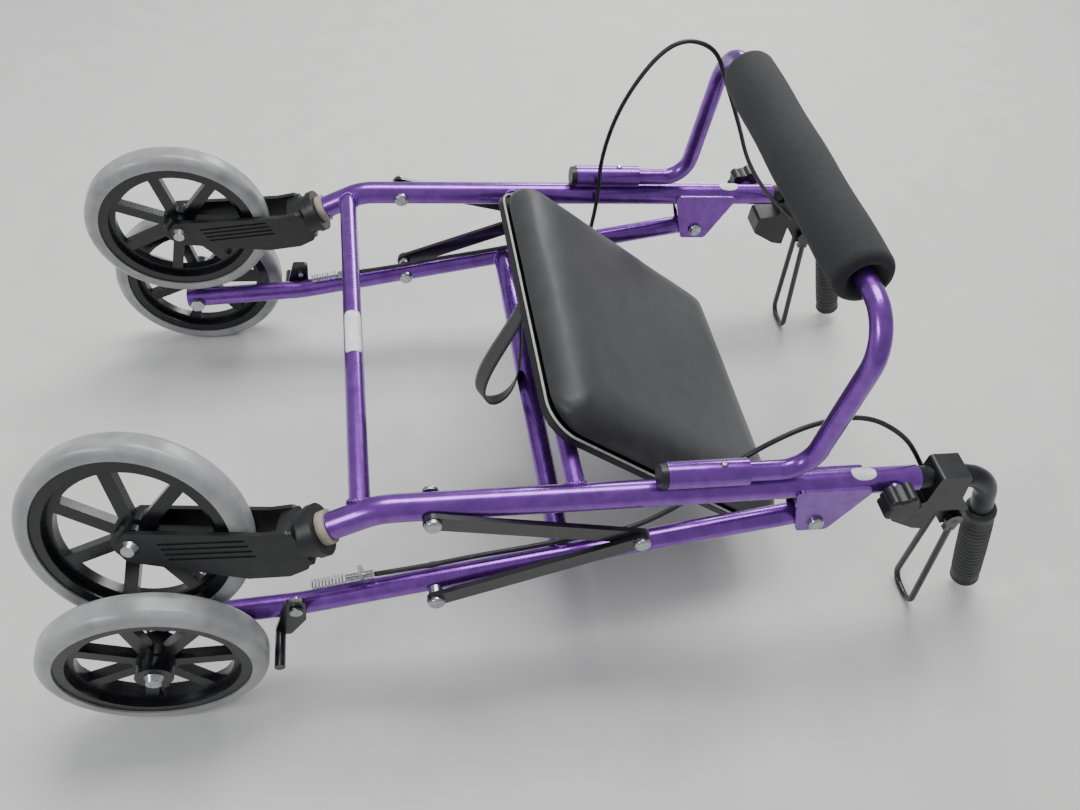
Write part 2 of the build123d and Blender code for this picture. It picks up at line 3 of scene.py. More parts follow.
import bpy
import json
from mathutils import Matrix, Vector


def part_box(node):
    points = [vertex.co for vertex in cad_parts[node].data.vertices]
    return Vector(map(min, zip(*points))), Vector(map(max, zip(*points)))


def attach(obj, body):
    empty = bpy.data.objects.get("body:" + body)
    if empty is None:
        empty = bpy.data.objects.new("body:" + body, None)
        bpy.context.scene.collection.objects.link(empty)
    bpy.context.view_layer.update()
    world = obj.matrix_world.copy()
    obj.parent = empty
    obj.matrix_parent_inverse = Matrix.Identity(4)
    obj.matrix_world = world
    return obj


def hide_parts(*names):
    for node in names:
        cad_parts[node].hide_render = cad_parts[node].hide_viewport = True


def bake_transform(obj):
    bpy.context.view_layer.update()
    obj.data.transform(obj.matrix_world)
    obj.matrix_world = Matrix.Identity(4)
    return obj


bl_info = {
    "name": "Folded Walker Looks",
    "version": (1, 0, 0),
    "blender": (4, 5, 0),
    "location": "View3D > Sidebar > Walker",
    "description": "Finishes, soft goods and cables for a folded four-wheeled walker",
    "category": "Object",
}

import json
from math import cos, pi, radians, sin, tan

import bmesh
import bpy
import numpy as np
from bpy.props import FloatProperty, FloatVectorProperty, PointerProperty, StringProperty

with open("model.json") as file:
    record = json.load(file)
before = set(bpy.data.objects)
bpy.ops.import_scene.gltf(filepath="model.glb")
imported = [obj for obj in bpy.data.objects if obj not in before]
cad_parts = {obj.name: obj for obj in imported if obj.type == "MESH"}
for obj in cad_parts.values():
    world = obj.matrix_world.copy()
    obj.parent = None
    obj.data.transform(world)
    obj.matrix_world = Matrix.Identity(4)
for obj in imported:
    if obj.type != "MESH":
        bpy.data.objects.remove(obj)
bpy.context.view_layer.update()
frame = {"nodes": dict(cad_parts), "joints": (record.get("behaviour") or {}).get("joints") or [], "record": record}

MM = 0.001
SIDES = {"left": -1.0, "right": 1.0}
JOINTS = {joint["name"]: joint for joint in frame["joints"]}
FOLD = np.array(JOINTS["fold"]["pos_m"])
SEAT_HINGE = np.array(JOINTS["seat_tilt"]["pos_m"])
SEAT_NORMAL = np.array(frame["record"]["mounts"][0]["axis"])
ACROSS = np.array([0.0, 1.0, 0.0])
SEAT_BACK = np.cross(ACROSS, SEAT_NORMAL)
TUBE_AXIS = np.array(JOINTS["height_slide_left"]["axis"])
TUBE_NORMAL = np.cross(TUBE_AXIS, ACROSS)

# sizes shared with the CAD, in millimetres, drawn in the plane of the front tubes
HALF_TRACK = 225.0
TUBE_R = 12.7
CROSSBAR_R = 9.5
LEG_R = 11.1
LOWER_BAR = (0.0, -6.0)
SEAT_BAR = (192.0, 0.0)
REAR_TUBE_X = 190.0
LOWER_TUBE_Z = -7.0  # height of the front tube's bend beside the lower crossbar
FOLD_X, FOLD_Z = 431.4, -43.5
LEG_SLOPE = radians(12.0)
HANDLE_BEND_X = 605.0
GRIP_DROP = 200.0
GRIP_SLOPE = radians(20.0)
BARREL_X = 10.0
# the fold bolt's place in that plane, from which lying places are measured
FOLD_IN_PLANE = np.array([FOLD_X, 0.0, FOLD_Z]) * MM


class WalkerColours(bpy.types.PropertyGroup):
    paint: StringProperty(name="Tube paint", description="Candy paint on the tubes", default="#7B3FA8")
    vinyl: StringProperty(name="Seat vinyl", description="Upholstery of the seat", default="#232425")
    piping: StringProperty(name="Piping", description="Cord sewn round the seat", default="#A9A9A4")
    foam: StringProperty(name="Foam", description="Backrest foam", default="#131314")
    tyre: StringProperty(name="Tyres", description="Polyurethane tyres", default="#9C9E9D")
    plastic: StringProperty(name="Black plastic", description="Moulded nylon parts", default="#141416")
    steel: StringProperty(name="Zinc steel", description="Bolts, nuts and springs", default="#B9BBBE")
    tube: StringProperty(name="Height tubes", description="Anodised height tubes", default="#3A3B3F")
    bushing: StringProperty(name="Bushings", description="Caster bushings", default="#A89F8C")
    floor: StringProperty(name="Floor", description="Studio floor", default="#D9D8D5")


class WalkerSizes(bpy.types.PropertyGroup):
    crown: FloatProperty(
        name="Seat shoulder", description="Width of the sloping rim of the seat", default=0.048, unit="LENGTH"
    )
    swell: FloatProperty(
        name="Seat swell", description="Most that the padding swells", default=0.006, unit="LENGTH"
    )
    piping: FloatProperty(
        name="Piping radius", description="Radius of the seat's piping", default=0.0013, unit="LENGTH"
    )
    strap_width: FloatProperty(
        name="Strap width", description="Width of the pull strap", default=0.022, unit="LENGTH"
    )
    cable: FloatProperty(
        name="Cable diameter", description="Outer diameter of a brake cable", default=0.005, unit="LENGTH"
    )
    bead: FloatProperty(
        name="Weld bead", description="Radius of a weld bead", default=0.0022, unit="LENGTH"
    )


class WalkerView(bpy.types.PropertyGroup):
    place: FloatVectorProperty(
        name="Camera place", description="Where the camera stands",
        default=(-0.1603, -0.7002, 0.9243), unit="LENGTH",
    )
    turn: FloatVectorProperty(
        name="Camera turn", description="How the camera is turned",
        default=(radians(41.302), radians(-4.104), radians(-8.899)), subtype="EULER",
    )
    lens: FloatProperty(name="Lens", description="Focal length on a 36 mm sensor", default=31.4)


# ---------------------------------------------------------------- materials


def srgb(code):
    """A hex colour as linear red, green, blue and alpha."""
    values = np.array([int(code[i : i + 2], 16) for i in (1, 3, 5)]) / 255
    linear = np.where(values <= 0.04045, values / 12.92, ((values + 0.055) / 1.055) ** 2.4)
    return (*linear.tolist(), 1.0)


def add_node(tree, kind, settings=None, links=None):
    """Adds a node, sets its properties or sockets, and links its inputs to other sockets."""
    node = tree.nodes.new(kind)
    for key, value in (settings or {}).items():
        if isinstance(key, str) and hasattr(node, key):
            setattr(node, key, value)
        else:
            node.inputs[key].default_value = value
    for key, socket in (links or {}).items():
        tree.links.new(socket, node.inputs[key])
    return node


def new_material(name, shader):
    """A material with a Principled shader and Object coordinates."""
    material = bpy.data.materials.new(name)
    material.use_nodes = True
    tree = material.node_tree
    tree.nodes.clear()
    surface = add_node(tree, "ShaderNodeBsdfPrincipled", shader)
    add_node(tree, "ShaderNodeOutputMaterial", links={"Surface": surface.outputs[0]})
    place = add_node(tree, "ShaderNodeTexCoord").outputs["Object"]
    return material, tree, surface, place


def cell(size_mm):
    """Texture scale that gives a feature of that size."""
    return 1000.0 / size_mm


def vary(tree, surface, place, dark, light, size_mm, low=0.35, high=0.65):
    """Colour that drifts between two tones over patches of the given size."""
    noise = add_node(tree, "ShaderNodeTexNoise", {"Scale": cell(size_mm), "Detail": 5.0}, {"Vector": place})
    ramp = add_node(tree, "ShaderNodeValToRGB", links={"Fac": noise.outputs["Fac"]})
    ramp.color_ramp.elements[0].position = low
    ramp.color_ramp.elements[1].position = high
    ramp.color_ramp.elements[0].color = dark
    ramp.color_ramp.elements[1].color = light
    tree.links.new(ramp.outputs["Color"], surface.inputs["Base Color"])


def roughen(tree, surface, place, low, high, size_mm):
    """Roughness that drifts between two values, as wear and handling leave it."""
    noise = add_node(tree, "ShaderNodeTexNoise", {"Scale": cell(size_mm), "Detail": 6.0}, {"Vector": place})
    spread = add_node(
        tree, "ShaderNodeMapRange", {"To Min": low, "To Max": high}, {"Value": noise.outputs["Fac"]}
    )
    tree.links.new(spread.outputs["Result"], surface.inputs["Roughness"])


def emboss(tree, surface, height, depth_mm, strength=1.0):
    """Bump of the given depth from a height socket."""
    bump = add_node(
        tree, "ShaderNodeBump", {"Distance": depth_mm * MM, "Strength": strength}, {"Height": height}
    )
    tree.links.new(bump.outputs["Normal"], surface.inputs["Normal"])


def tone(code, factor):
    """The same colour, lighter or darker."""
    red, green, blue = srgb(code)[:3]
    return (min(1.0, red * factor), min(1.0, green * factor), min(1.0, blue * factor), 1.0)


def candy_paint(colours):
    """Candy paint sprayed on steel tube: metal shows through the tint, under a glossy clear coat."""
    shader = {"Metallic": 0.82, "Coat Weight": 0.7, "Coat Roughness": 0.05}
    material, tree, surface, place = new_material("candy_violet_paint", shader)
    vary(tree, surface, place, tone(colours.paint, 0.82), tone(colours.paint, 1.15), 14)
    roughen(tree, surface, place, 0.2, 0.34, 22)
    # orange peel of sprayed paint, about 2.5 mm from crest to crest
    peel = add_node(tree, "ShaderNodeTexNoise", {"Scale": cell(2.5), "Detail": 1.0}, {"Vector": place})
    emboss(tree, surface, peel.outputs["Fac"], 0.03, 0.5)
    return material


def moulded_nylon(name, colours, rough=(0.34, 0.5), grain_mm=1.1):
    """Injection-moulded black nylon: fine spark-eroded grain with a soft sheen."""
    material, tree, surface, place = new_material(name, {"IOR": 1.53})
    vary(tree, surface, place, tone(colours.plastic, 0.8), tone(colours.plastic, 1.5), 9)
    roughen(tree, surface, place, rough[0], rough[1], 16)
    grain = add_node(tree, "ShaderNodeTexNoise", {"Scale": cell(grain_mm), "Detail": 3.0}, {"Vector": place})
    emboss(tree, surface, grain.outputs["Fac"], 0.06, 0.6)
    return material


def black_enamel():
    """Black enamel baked on flat steel: smooth, with a glossy skin."""
    shader = {"Coat Weight": 0.4, "Coat Roughness": 0.12}
    material, tree, surface, place = new_material("baked_black_enamel", shader)
    vary(tree, surface, place, srgb("#101012"), srgb("#1C1C1F"), 10)
    roughen(tree, surface, place, 0.22, 0.4, 12)
    peel = add_node(tree, "ShaderNodeTexNoise", {"Scale": cell(1.8)}, {"Vector": place})
    emboss(tree, surface, peel.outputs["Fac"], 0.02, 0.5)
    return material


def anodised_tube(colours):
    """Dark anodised aluminium, drawn along its length."""
    material, tree, surface, place = new_material("anodised_grey_aluminium", {"Metallic": 0.9})
    vary(tree, surface, place, tone(colours.tube, 0.8), tone(colours.tube, 1.25), 12)
    stretch = add_node(tree, "ShaderNodeMapping", {"Scale": (0.03, 1.0, 1.0)}, {"Vector": place})
    streaks = add_node(
        tree, "ShaderNodeTexNoise", {"Scale": cell(0.7), "Detail": 2.0}, {"Vector": stretch.outputs[0]}
    )
    roughen(tree, surface, place, 0.26, 0.42, 9)
    emboss(tree, surface, streaks.outputs["Fac"], 0.015, 0.6)
    return material


def zinc_steel(colours):
    """Zinc-plated steel: bright, with the slight cloudiness of the plating."""
    material, tree, surface, place = new_material("zinc_plated_steel", {"Metallic": 1.0})
    vary(tree, surface, place, tone(colours.steel, 0.75), tone(colours.steel, 1.1), 3)
    roughen(tree, surface, place, 0.16, 0.36, 2.5)
    cloud = add_node(tree, "ShaderNodeTexNoise", {"Scale": cell(0.9)}, {"Vector": place})
    emboss(tree, surface, cloud.outputs["Fac"], 0.02, 0.5)
    return material


def cast_polyurethane(colours):
    """Cast polyurethane tyre: pale grey, a little light passes into it, wiped clean and glossy."""
    shader = {
        "Subsurface Weight": 0.25, "Subsurface Radius": (0.006, 0.006, 0.006), "Subsurface Scale": 1.0,
        "IOR": 1.5, "Coat Weight": 0.25, "Coat Roughness": 0.15,
    }
    material, tree, surface, place = new_material("cast_grey_polyurethane", shader)
    vary(tree, surface, place, tone(colours.tyre, 0.72), tone(colours.tyre, 1.05), 26, 0.3, 0.62)
    roughen(tree, surface, place, 0.24, 0.5, 18)
    scuff = add_node(tree, "ShaderNodeTexNoise", {"Scale": cell(1.6), "Detail": 6.0}, {"Vector": place})
    emboss(tree, surface, scuff.outputs["Fac"], 0.08, 0.5)
    return material


def grained_vinyl(colours):
    """Coated vinyl upholstery: pebbled leather grain of about 1.3 mm, half-matt."""
    material, tree, surface, place = new_material("grained_black_vinyl", {"IOR": 1.5, "Sheen Weight": 0.15})
    vary(tree, surface, place, tone(colours.vinyl, 0.85), tone(colours.vinyl, 1.3), 30)
    roughen(tree, surface, place, 0.42, 0.56, 20)
    pebble = add_node(
        tree, "ShaderNodeTexVoronoi", {"Scale": cell(1.3), "feature": "SMOOTH_F1"}, {"Vector": place}
    )
    crease = add_node(tree, "ShaderNodeTexNoise", {"Scale": cell(7.0), "Detail": 4.0}, {"Vector": place})
    both = add_node(
        tree, "ShaderNodeMath", {"operation": "ADD"},
        {0: pebble.outputs["Distance"], 1: crease.outputs["Fac"]},
    )
    emboss(tree, surface, both.outputs[0], 0.16, 0.55)
    return material


def cut_foam(colours):
    """Extruded closed-cell foam tube: matt skin with open pores about 1 mm across."""
    shader = {"Sheen Weight": 0.08, "Sheen Roughness": 0.6}
    material, tree, surface, place = new_material("closed_cell_foam", shader)
    vary(tree, surface, place, tone(colours.foam, 0.8), tone(colours.foam, 1.6), 2.2)
    roughen(tree, surface, place, 0.75, 0.95, 6)
    pores = add_node(
        tree, "ShaderNodeTexVoronoi", {"Scale": cell(1.1), "feature": "F1"}, {"Vector": place}
    )
    emboss(tree, surface, pores.outputs["Distance"], 0.35, 0.7)
    return material


def soft_rubber(name, rough=(0.45, 0.62)):
    """Moulded black rubber, dulled by handling."""
    material, tree, surface, place = new_material(name, {"IOR": 1.52})
    vary(tree, surface, place, srgb("#161617"), srgb("#29292B"), 12)
    roughen(tree, surface, place, rough[0], rough[1], 14)
    grain = add_node(tree, "ShaderNodeTexNoise", {"Scale": cell(1.0), "Detail": 4.0}, {"Vector": place})
    emboss(tree, surface, grain.outputs["Fac"], 0.1, 0.6)
    return material


def woven_webbing():
    """Polyester webbing: ribs across its width every 1.6 mm, edges bound tighter."""
    material, tree, surface, place = new_material("woven_black_polyester", {"Sheen Weight": 0.3})
    uv = add_node(tree, "ShaderNodeTexCoord").outputs["UV"]
    ribs = add_node(
        tree, "ShaderNodeTexWave",
        {"Scale": 40.0, "bands_direction": "X", "Distortion": 0.6, "Detail": 1.0},
        {"Vector": uv},
    )
    vary(tree, surface, place, srgb("#0E0E0F"), srgb("#232326"), 2)
    roughen(tree, surface, place, 0.7, 0.9, 3)
    emboss(tree, surface, ribs.outputs["Fac"], 0.4, 0.8)
    return material


def label_vinyl():
    """Blank white sticker vinyl, smooth and half-gloss."""
    material, tree, surface, place = new_material("blank_white_sticker", {"IOR": 1.5})
    vary(tree, surface, place, srgb("#D9DADC"), srgb("#EDEDEE"), 12)
    roughen(tree, surface, place, 0.3, 0.45, 8)
    return material


def tinted_plastic(name, code, rough=(0.35, 0.5)):
    """Moulded plastic in one tint with slight mottling."""
    material, tree, surface, place = new_material(name, {"IOR": 1.5})
    vary(tree, surface, place, tone(code, 0.85), tone(code, 1.08), 6)
    roughen(tree, surface, place, rough[0], rough[1], 7)
    grain = add_node(tree, "ShaderNodeTexNoise", {"Scale": cell(1.2)}, {"Vector": place})
    emboss(tree, surface, grain.outputs["Fac"], 0.05, 0.5)
    return material


# ---------------------------------------------------------------- geometry


def leg_height(x):
    """Height of a rear leg's axis at a place along the front tubes, in millimetres."""
    return FOLD_Z - (FOLD_X - x) * tan(LEG_SLOPE)


def lying(points_mm):
    """Places drawn in the plane of the front tubes (x along, y across, z off it), as they lie, in metres."""
    local = np.asarray(points_mm, float) * MM - FOLD_IN_PLANE
    return FOLD + local[..., :1] * TUBE_AXIS + local[..., 1:2] * ACROSS + local[..., 2:3] * TUBE_NORMAL


def grid_piece(name, points, wrap_rows=False, wrap_columns=True, cap=False):
    """Quads over a grid of points: rows along the piece, columns round it. cap closes both ends."""
    rows, columns = points.shape[:2]
    index = np.arange(rows * columns).reshape(rows, columns)
    if wrap_columns:
        index = np.hstack([index, index[:, :1]])
    if wrap_rows:
        index = np.vstack([index, index[:1]])
    quads = np.stack([index[:-1, :-1], index[1:, :-1], index[1:, 1:], index[:-1, 1:]], -1)
    faces = quads.reshape(-1, 4).tolist()
    vertices = points.reshape(-1, 3)
    if cap:
        middles = np.array([points[0].mean(0), points[-1].mean(0)])
        vertices = np.vstack([vertices, middles])
        for row, middle in ((index[0], rows * columns), (index[-1], rows * columns + 1)):
            faces += np.stack([row[:-1], row[1:], np.full(len(row) - 1, middle)], -1).tolist()
    mesh = bpy.data.meshes.new(name)
    mesh.from_pydata(vertices.tolist(), [], faces)
    uv = mesh.uv_layers.new(name="UVMap")
    corner = np.zeros(len(mesh.loops), dtype=np.int32)
    mesh.loops.foreach_get("vertex_index", corner)
    spots = np.stack([corner // columns / max(rows - 1, 1), corner % columns / columns], -1)
    uv.data.foreach_set("uv", np.clip(spots, 0, 1).astype(np.float32).ravel())
    return settle(mesh, name)


def settle(mesh, name):
    """An object for a mesh, its normals outward and its faces smooth."""
    work = bmesh.new()
    work.from_mesh(mesh)
    bmesh.ops.remove_doubles(work, verts=work.verts, dist=1e-6)
    bmesh.ops.recalc_face_normals(work, faces=work.faces)
    work.to_mesh(mesh)
    work.free()
    mesh.polygons.foreach_set("use_smooth", np.ones(len(mesh.polygons), dtype=bool))
    piece = bpy.data.objects.new(name, mesh)
    bpy.context.scene.collection.objects.link(piece)
    return piece


def dress(piece, material, body):
    """Gives a piece its material and the body that it rides on."""
    piece.data.materials.clear()
    piece.data.materials.append(material)
    if body:
        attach(piece, body)
    return piece


def turned(origin, axis, profile, sides=64):
    """A profile of (distance along the axis, radius) pairs turned once about the axis."""
    axis = np.asarray(axis) / np.linalg.norm(axis)
    side = np.cross(axis, ACROSS if abs(axis[1]) < 0.9 else np.array([1.0, 0.0, 0.0]))
    side /= np.linalg.norm(side)
    other = np.cross(axis, side)
    angle = np.linspace(0, 2 * pi, sides, endpoint=False)
    ring = np.cos(angle)[:, None] * side + np.sin(angle)[:, None] * other
    return origin + profile[:, 0][:, None, None] * axis + profile[:, 1][:, None, None] * ring[None]


def apply_modifiers(piece):
    """Makes the piece's modifiers part of its mesh."""
    bpy.context.view_layer.update()
    graph = bpy.context.evaluated_depsgraph_get()
    mesh = bpy.data.meshes.new_from_object(piece.evaluated_get(graph), depsgraph=graph)
    piece.modifiers.clear()
    piece.data = mesh
    return piece


def read_points(mesh):
    """Vertex positions of a mesh as an array."""
    flat = np.zeros(len(mesh.vertices) * 3)
    mesh.vertices.foreach_get("co", flat)
    return flat.reshape(-1, 3)


def write_points(mesh, points):
    """Puts an array of positions into a mesh."""
    mesh.vertices.foreach_set("co", points.astype(np.float32).ravel())
    mesh.update()


def seat_places(along, across, up):
    """Places on the seat, in metres: along it from the hinge, across it, and above the hinge's plane."""
    along, across, up = np.broadcast_arrays(along, across, up)
    return (
        SEAT_HINGE + along[..., None] * SEAT_BACK + across[..., None] * ACROSS + up[..., None] * SEAT_NORMAL
    )


def seat_coordinates(points):
    """The reverse of seat_places: columns along, across and up."""
    local = points - SEAT_HINGE
    return np.stack([local @ SEAT_BACK, local[:, 1], local @ SEAT_NORMAL], -1)


def rounded_outline(half_length, half_width, corner, count=48):
    """Points round a rectangle whose corners are quarter circles, from its middle."""
    turn = np.linspace(0, pi / 2, count // 4)
    parts = []
    for quarter in range(4):
        cx = (half_length - corner) * (1 if quarter in (0, 3) else -1)
        cy = (half_width - corner) * (1 if quarter in (0, 1) else -1)
        angle = turn + quarter * pi / 2
        parts.append(np.stack([cx + corner * np.cos(angle), cy + corner * np.sin(angle)], -1))
    return np.vstack(parts)


# ---------------------------------------------------------------- operators


class WALKER_OT_finishes(bpy.types.Operator):
    """Gives every carried-over CAD node its finish"""

    bl_idname = "walker.finishes"
    bl_label = "Surface finishes"

    def execute(self, context):
        colours = context.scene.walker_colours
        nylon = moulded_nylon("moulded_black_nylon", colours)
        looks = {
            "purple_paint": candy_paint(colours),
            "black_paint": black_enamel(),
            "grey_tube": anodised_tube(colours),
            "black_plastic": nylon,
            "black_rubber": soft_rubber("moulded_black_rubber"),
            "cable_jacket": soft_rubber("extruded_black_pvc", (0.3, 0.42)),
            "foam": cut_foam(colours),
            "black_vinyl": grained_vinyl(colours),
            "grey_tyre": cast_polyurethane(colours),
            "black_rim": moulded_nylon("glossy_black_nylon", colours, (0.2, 0.34), 2.0),
            "zinc": zinc_steel(colours),
            "bushing": tinted_plastic("acetal_bushing", colours.bushing),
        }
        for part in frame["record"]["subparts"]:
            node = frame["nodes"][part["node"]]
            for slot in node.material_slots:
                slot.material = looks[part["material_slot"]]
        return {"FINISHED"}


class WALKER_OT_seat(bpy.types.Operator):
    """Builds the padded seat cover and the piping round its edge"""

    bl_idname = "walker.seat"
    bl_label = "Seat"

    def execute(self, context):
        sizes = context.scene.walker_sizes
        seam_share = 0.3  # how much of the cushion's height is left at its seam
        seam_height = 0.012  # the padding swells fully from this height up
        sideways_share = 0.25
        cover = settle(frame["nodes"]["seat_cushion"].data.copy(), "seat_cover")
        remesh = cover.modifiers.new("even", "REMESH")
        remesh.mode = "VOXEL"
        remesh.voxel_size = 0.006
        apply_modifiers(cover)

        # the padding falls away towards its seam: height times a quarter-circle rise over the shoulder
        places = seat_coordinates(read_points(cover.data))
        low, high = places.min(0), places.max(0)
        middle = (low + high) / 2
        half = (high - low) / 2
        inside = np.minimum(half[0] - abs(places[:, 0] - middle[0]), half[1] - abs(places[:, 1] - middle[1]))
        rise = np.sqrt(np.clip(1 - (1 - np.clip(inside / sizes.crown, 0, 1)) ** 2, 0, 1))
        height = places[:, 2] - low[2]
        places[:, 2] = low[2] + height * (seam_share + (1 - seam_share) * rise)
        shaped = seat_places(places[:, 0], places[:, 1], places[:, 2])
        write_points(cover.data, shaped)

        cloth = cover.modifiers.new("padding", "CLOTH")
        cloth.settings.use_pressure = True
        cloth.settings.uniform_pressure_force = 4.0
        cloth.settings.effector_weights.gravity = 0.0
        for number in range(1, 21):
            context.scene.frame_set(number)
        apply_modifiers(cover)
        context.scene.frame_set(1)
        swollen = read_points(cover.data)
        if len(swollen) != len(shaped):
            raise RuntimeError("the padding's simulation changed the seat cover's vertices")
        before, after = seat_coordinates(shaped), seat_coordinates(swollen)
        moved = np.clip(after - before, -sizes.swell, sizes.swell)
        moved[:, :2] *= sideways_share
        rim = np.clip((before[:, 2] - low[2]) / seam_height, 0, 1)
        moved[:, 2] = np.maximum(moved[:, 2], 0) * rim
        final = before + moved
        write_points(cover.data, seat_places(final[:, 0], final[:, 1], final[:, 2]))
        smooth = cover.modifiers.new("even_skin", "SMOOTH")
        smooth.factor = 0.5
        smooth.iterations = 4
        apply_modifiers(cover)
        finer = cover.modifiers.new("finer", "SUBSURF")
        finer.levels = finer.render_levels = 1
        apply_modifiers(cover)
        cover.data.polygons.foreach_set("use_smooth", np.ones(len(cover.data.polygons), dtype=bool))
        vinyl = bpy.data.materials["grained_black_vinyl"]
        dress(cover, vinyl, "seat")
        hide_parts("seat_cushion")

        # piping: a thin cord carried round the outline where the cover meets the board
        outline = rounded_outline(half[0] + 0.0006, half[1] + 0.0006, 0.032, 96)
        centre = seat_places(middle[0] + outline[:, 0], outline[:, 1], np.full(len(outline), low[2] + 0.0015))
        ahead = np.roll(centre, -1, 0) - np.roll(centre, 1, 0)
        ahead /= np.linalg.norm(ahead, axis=1)[:, None]
        outward = np.cross(ahead, SEAT_NORMAL)
        angle = np.linspace(0, 2 * pi, 12, endpoint=False)
        ring = np.cos(angle)[None, :, None] * outward[:, None] + np.sin(angle)[None, :, None] * SEAT_NORMAL
        piping = grid_piece("seat_piping", centre[:, None] + sizes.piping * ring, wrap_rows=True)
        colour = context.scene.walker_colours.piping
        dress(piping, tinted_plastic("extruded_pale_piping", colour), "seat")
        return {"FINISHED"}


class WALKER_OT_strap(bpy.types.Operator):
    """Hangs the pull strap's loop from the middle of the seat board"""

    bl_idname = "walker.strap"
    bl_label = "Pull strap"

    def execute(self, context):
        width = context.scene.walker_sizes.strap_width
        # a drop-shaped loop: depth follows half of one minus the cosine, and its two legs
        # part by the sine times the square of the half-angle's sine
        turn = np.linspace(0.04, 2 * pi - 0.04, 110)
        down = np.array([-0.178, 0.0, -0.984])
        aside = np.array([0.984, 0.0, -0.178])
        top = seat_places(-0.034, 0.0, 0.0128)
        depth = 0.0755 * (1 - np.cos(turn))
        spread = 0.032 * np.sin(turn) * np.sin(turn / 2) ** 2
        drift = 0.005 * np.sin(turn)
        centre = top + depth[:, None] * down + spread[:, None] * aside + drift[:, None] * ACROSS
        ahead = np.gradient(centre, axis=0)
        ahead /= np.linalg.norm(ahead, axis=1)[:, None]
        outward = np.cross(ahead, ACROSS)
        lean = 0.12 + 0.3 * np.sin(turn / 2) ** 2
        face = np.cos(lean)[:, None] * ACROSS + np.sin(lean)[:, None] * outward
        face -= ahead * (face * ahead).sum(1)[:, None]
        face /= np.linalg.norm(face, axis=1)[:, None]
        s = np.linspace(-0.5, 0.5, 7)
        points = centre[:, None] + width * s[None, :, None] * face[:, None]
        strap = grid_piece("pull_strap", points, wrap_columns=False)
        thick = strap.modifiers.new("thickness", "SOLIDIFY")
        thick.thickness = 0.0016
        thick.offset = 0
        apply_modifiers(strap)
        dress(strap, woven_webbing(), "seat")
        return {"FINISHED"}


class WALKER_OT_foam_roll(bpy.types.Operator):
    """Turns the foam roll of the backrest, hollow round its bar"""

    bl_idname = "walker.foam_roll"
    bl_label = "Foam roll"

    def execute(self, context):
        low, high = (np.array(corner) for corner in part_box("foam_roll"))
        middle = (low + high) / 2
        radius = (high[2] - low[2]) / 2 - 0.0003
        reach = (high[1] - low[1]) / 2
        bore = 0.0096
        rounding = 0.009
        # closed section: out along the skin with rounded ends, back along the bore
        along = np.linspace(-1, 1, 120)
        end = np.clip((1 - abs(along)) * reach / rounding, 0, 1)
        skin = radius - rounding * (1 - np.sqrt(1 - (1 - end) ** 2)) - 0.0004 * (1 - np.cos(9 * along))
        outer = np.stack([along * reach, skin], -1)
        inner = np.stack([along[::-6] * (reach - 0.002), np.full(len(along[::-6]), bore)], -1)
        profile = np.vstack([outer, inner])
        roll = grid_piece("backrest_roll", turned(middle, ACROSS, profile), wrap_rows=True)
        dress(roll, bpy.data.materials["closed_cell_foam"], "front_frame")
        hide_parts("foam_roll")
        return {"FINISHED"}


class WALKER_OT_grips(bpy.types.Operator):
    """Turns the hand grips, ribbed for the fingers"""

    bl_idname = "walker.grips"
    bl_label = "Grips"

    def execute(self, context):
        length = 0.150
        rib_pitch = 0.007
        largest = 0.016
        end = np.array([HANDLE_BEND_X + GRIP_DROP * tan(GRIP_SLOPE), 0.0, -GRIP_DROP])
        way = sin(GRIP_SLOPE) * TUBE_AXIS - cos(GRIP_SLOPE) * TUBE_NORMAL
        s = np.linspace(0, 1, 260)
        # barrel with a collar at the hand stop, ribs every 7 mm and a rounded butt
        barrel = 0.0146 + 0.0006 * np.sin(pi * s)
        ribs = 0.0007 * np.clip(np.cos(2 * pi * s * length / rib_pitch), 0, 1) ** 0.5
        gripped = np.clip((s - 0.12) / 0.03, 0, 1) * np.clip((0.9 - s) / 0.03, 0, 1)
        collar = 0.0011 * np.exp(-(((s - 0.035) / 0.03) ** 4)) + 0.0009 * np.exp(-(((s - 0.97) / 0.03) ** 4))
        radius = np.minimum(barrel + ribs * gripped + collar, largest)
        radius *= np.sqrt(np.clip(1 - (1 - np.clip((1 - s) / 0.03, 0, 1)) ** 2, 0.2, 1))
        radius *= np.sqrt(np.clip(1 - (1 - np.clip(s / 0.012, 0, 1)) ** 2, 0.6, 1))
        profile = np.stack([(s - 1) * length, radius], -1)
        for name, side in SIDES.items():
            butt = lying(end + np.array([0.0, side * HALF_TRACK, 0.0]))
            grip = grid_piece(f"ribbed_grip_{name}", turned(butt, way, profile, 72), cap=True)
            dress(grip, bpy.data.materials["moulded_black_rubber"], f"handle_{name}")
            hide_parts(f"grip_{name}")
        return {"FINISHED"}


